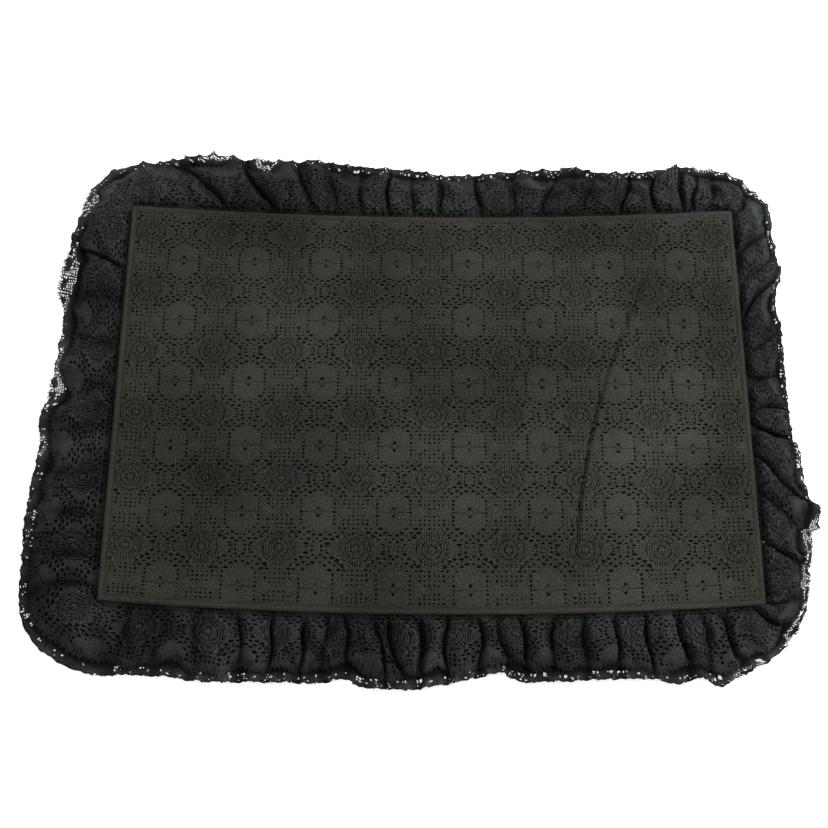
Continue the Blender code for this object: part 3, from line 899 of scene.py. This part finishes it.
def lace_material(name, dark, light, roughness, fleck_highlight, painted_shading_heights=None, painted_shade_out_to=None, mapped=True):
    """Spun yarn: two tones mixed together, bright flecks that are painted highlights of lit fuzz, a fine
    knitted grain, and a soft sheen.

    fleck_highlight is how strong the flecks' painted highlights are. painted_shading_heights are the heights
    between which gathered lace goes from near-black painted shade in its grooves to painted light on the tops
    of its folds, on top of the shade that the folds themselves cast. painted_shade_out_to is how far out the
    lace gets painted shade where another layer lies over it.
    mapped says whether its pieces have the "cloth" map; a thread hasn't, and takes its grain from where it
    lies.
    """
    made, tree, shader = new_material(name)
    place = add(tree, "ShaderNodeTexCoord").outputs["Object"]
    cloth = add(tree, "ShaderNodeUVMap", uv_map="cloth").outputs["UV"]
    weave = cloth if mapped else place

    patches = add(tree, "ShaderNodeTexNoise", in_Scale=9.0, in_Detail=3.0, in_Vector=place)
    grain = add(tree, "ShaderNodeTexNoise", in_Scale=900.0, in_Detail=2.0, in_Vector=weave)
    spread = add(tree, "ShaderNodeMath", operation="MULTIPLY_ADD", in_0=patches.outputs["Fac"], in_1=1.1,
                 in_2=-0.55)
    tone = add(tree, "ShaderNodeMath", operation="MULTIPLY_ADD", in_0=grain.outputs["Fac"], in_1=0.8,
               in_2=spread.outputs[0])
    ramp = add(tree, "ShaderNodeValToRGB", in_Fac=tone.outputs[0])
    for stop, position, colour in zip(ramp.color_ramp.elements, (0.15, 0.85), (dark, light)):
        stop.position = position
        stop.color = (*colour, 1)
    # bright flecks: painted highlights, fuzz on the yarn catching the light, mixed in at 3.2 times the light
    # tone
    flecks = add(tree, "ShaderNodeTexNoise", in_Scale=1250.0, in_Detail=1.0, in_Vector=weave).outputs["Fac"]
    picked = add(tree, "ShaderNodeMapRange", in_From_Min=0.62, in_From_Max=0.78, in_To_Max=fleck_highlight,
                 in_Value=flecks)
    mixed = add(tree, "ShaderNodeMix", data_type="RGBA")
    mixed.inputs["B"].default_value = (*[3.2 * part for part in light], 1)
    tree.links.new(picked.outputs["Result"], mixed.inputs["Factor"])
    tree.links.new(ramp.outputs["Color"], mixed.inputs["A"])
    colour = mixed.outputs["Result"]

    # the gaps between the yarn's fibres are darker; painted shade darkens the frills' grooves and the lace
    # under another layer, and painted light brightens the tops of the folds
    shades = [(flecks, (0.30, 0.44), (0.55, 1.0))]
    # painted shade in the frills' grooves and painted light on the tops of their folds, by height above the
    # table
    if painted_shading_heights:
        point = add(tree, "ShaderNodeSeparateXYZ", in_0=place)
        shades.append((point.outputs["Z"], painted_shading_heights, (0.12, 1.25)))
    # painted shade on the lower frill where the upper frill lies over it, by how far out it is on the cloth
    if painted_shade_out_to:
        point = add(tree, "ShaderNodeSeparateXYZ", in_0=cloth)
        shades.append((point.outputs["Y"], (painted_shade_out_to - 4 * MM, painted_shade_out_to), (0.12, 1.0)))
    for source, (low, high), (least, most) in shades:
        shade = add(tree, "ShaderNodeMapRange", in_From_Min=low, in_From_Max=high,
                    in_To_Min=least, in_To_Max=most, in_Value=source)
        shaded = add(tree, "ShaderNodeMix", data_type="RGBA", blend_type="MULTIPLY", in_Factor=1.0)
        tree.links.new(colour, shaded.inputs["A"])
        tree.links.new(shade.outputs["Result"], shaded.inputs["B"])
        colour = shaded.outputs["Result"]
    tree.links.new(colour, shader.inputs["Base Color"])

    wale = add(tree, "ShaderNodeTexWave", wave_type="BANDS", bands_direction="X", in_Vector=weave,
               in_Scale=2 * math.pi / (CELL_X / 2) / 20, in_Distortion=1.5, in_Detail=2.0)
    fuzz = add(tree, "ShaderNodeTexNoise", in_Scale=2600.0, in_Detail=2.0, in_Vector=weave)
    height = add(tree, "ShaderNodeMath", operation="MULTIPLY_ADD", in_0=wale.outputs["Fac"], in_1=0.7,
                 in_2=fuzz.outputs["Fac"])
    relief = add(tree, "ShaderNodeBump", in_Strength=0.6, in_Distance=0.00025, in_Height=height.outputs[0])
    tree.links.new(relief.outputs["Normal"], shader.inputs["Normal"])
    shader.inputs["Roughness"].default_value = roughness
    shader.inputs["Specular IOR Level"].default_value = 0.06
    shader.inputs["Sheen Weight"].default_value = 0.03
    shader.inputs["Sheen Roughness"].default_value = 0.5
    return made


def plain_cloth_material(name, colour):
    """Plain woven cloth: two crossing sets of fine ribs."""
    made, tree, shader = new_material(name)
    place = add(tree, "ShaderNodeTexCoord").outputs["Object"]
    ribs = [add(tree, "ShaderNodeTexWave", wave_type="BANDS", bands_direction=direction, in_Scale=600.0,
                in_Distortion=0.6, in_Vector=place).outputs["Fac"] for direction in ("X", "Y")]
    both = add(tree, "ShaderNodeMath", operation="MULTIPLY", in_0=ribs[0], in_1=ribs[1]).outputs[0]
    relief = add(tree, "ShaderNodeBump", in_Strength=0.4, in_Distance=0.0002, in_Height=both)
    tree.links.new(relief.outputs["Normal"], shader.inputs["Normal"])
    tone = add(tree, "ShaderNodeValToRGB", in_Fac=both)
    tone.color_ramp.elements[0].color = (*[c * 0.7 for c in colour], 1)
    tone.color_ramp.elements[1].color = (*colour, 1)
    tree.links.new(tone.outputs["Color"], shader.inputs["Base Color"])
    shader.inputs["Roughness"].default_value = 0.9
    shader.inputs["Specular IOR Level"].default_value = 0.03
    return made


def dress(piece, made):
    """Give a piece one material."""
    piece.data.materials.clear()
    piece.data.materials.append(made)


# ---- Stage ----
FLOOR_HALF, FLOOR_DOWN = 4.5, 0.0002  # metres; the floor is just under the mat
DOME_RADIUS, DOME_DIP = 4.2, 0.02  # metres, and how far below level its rim is, in radians


def dome_point(around, up):
    """A point of the dome, as rows of x, y, z."""
    return DOME_RADIUS * np.stack([np.cos(around) * np.cos(up), np.sin(around) * np.cos(up), np.sin(up)], 1)


def build_stage():
    """A white floor, and a white dome over it that is only seen and lights nothing."""
    corners = [(x * FLOOR_HALF, y * FLOOR_HALF, -FLOOR_DOWN) for x, y in ((-1, -1), (1, -1), (1, 1), (-1, 1))]
    floor = mesh_from("floor", np.array(corners), np.array([(0, 1, 2, 3)]))
    dome = plain_sheet("dome", np.linspace(0, 2 * math.pi, 49),
                       np.linspace(-DOME_DIP, math.pi / 2 - DOME_DIP, 13), dome_point)
    dome.visible_diffuse = False
    dome.visible_glossy = False
    dome.visible_shadow = False
    for piece, name, glow in ((floor, "pale_floor", 0.65), (dome, "pale_dome", 1.1)):
        made, _, shader = new_material(name)
        shader.inputs["Base Color"].default_value = (0.9, 0.9, 0.9, 1)
        shader.inputs["Roughness"].default_value = 0.9
        shader.inputs["Emission Color"].default_value = (1, 1, 1, 1)
        shader.inputs["Emission Strength"].default_value = glow
        dress(piece, made)

    world = bpy.data.worlds.new("studio")
    bpy.context.scene.world = world
    world.use_nodes = True
    background = world.node_tree.nodes["Background"]
    background.inputs["Color"].default_value = (1.0, 1.0, 1.0, 1)
    background.inputs["Strength"].default_value = 0.36
    add_light("key", (0.95, 0.35, 0.95), 0.4, 22.0)
    add_light("fill", (-0.9, -0.2, 1.2), 1.0, 5.0)


def add_light(name, place, size, power):
    """A square lamp that faces the mat. size is in metres and power in watts."""
    data = bpy.data.lights.new(name, "AREA")
    data.size = size
    data.energy = power
    light = bpy.data.objects.new(name, data)
    bpy.context.scene.collection.objects.link(light)
    light.location = place
    light.rotation_euler = (-Vector(place)).to_track_quat("-Z", "Y").to_euler()


def build_camera():
    """Above the mat and a little towards -Y of it, looking down."""
    data = bpy.data.cameras.new("camera")
    data.lens = 57.0
    data.sensor_width = 36.0
    camera = bpy.data.objects.new("camera", data)
    bpy.context.scene.collection.objects.link(camera)
    camera.location = (-0.0133, -0.3325, 0.888)
    camera.rotation_euler = (math.radians(20.18), math.radians(-0.44), math.radians(0.33))
    bpy.context.scene.camera = camera


# ---- Everything together ----
def stand_in(piece, node, made):
    """Dress a piece and put it in a CAD node's place."""
    dress(piece, made)
    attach(piece, "root")
    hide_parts(node)


def main():
    build_camera()
    build_stage()

    panel_lace = lace_material("panel_lace_yarn", dark=(0.014, 0.0145, 0.012), light=(0.058, 0.057, 0.046),
                               roughness=0.75, fleck_highlight=0.7)
    # the frills' yarn is the panel's lace in darker, bluer tones: painted shade, as the frills lie lower than
    # the panel and take less light
    frill = {"dark": (0.008, 0.009, 0.011), "light": (0.052, 0.058, 0.059), "roughness": 0.75, "fleck_highlight": 0.4}
    # painted shade in the grooves of the frills' folds and painted light on their tops, by height
    upper_lace = lace_material("upper_frill_yarn", **frill, painted_shading_heights=(1.6 * MM, 7.0 * MM))
    # the lower frill also gets painted shade out to 40 mm, where the upper frill lies over it
    lower_lace = lace_material("lower_frill_yarn", **frill, painted_shading_heights=(0.3 * MM, 5.0 * MM), painted_shade_out_to=40 * MM)
    lining = plain_cloth_material("black_lining", (0.003, 0.003, 0.0035))
    backing = plain_cloth_material("black_backing", (0.012, 0.012, 0.013))
    thread = lace_material("topstitch_thread", dark=(0.012, 0.012, 0.011), light=(0.04, 0.038, 0.032),
                           roughness=0.6, fleck_highlight=0.0, mapped=False)

    face = build_face_lace()
    stand_in(face, "face_lace", panel_lace)
    behind = build_lining()
    stand_in(behind, "face_lining", lining)
    stand_in(build_topstitch(), "topstitch_needle_thread", thread)
    for name, node, layer, made in (("lower_frill", "under_frill", 0, lower_lace),
                                    ("upper_frill_lace", "upper_frill", 1, upper_lace)):
        piece, long, wide = build_frill(name, layer)
        stand_in(piece, node, made)
        flat_area(piece)
    flat_area(face)

    dress(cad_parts["back_cloth"], backing)
    for node in ("under_gathering_thread", "upper_gathering_thread", "seam_thread",
                 "topstitch_bobbin_thread", "under_join_thread", "upper_join_thread"):
        dress(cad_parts[node], thread)
    bpy.context.scene.view_settings.view_transform = "Standard"


main()
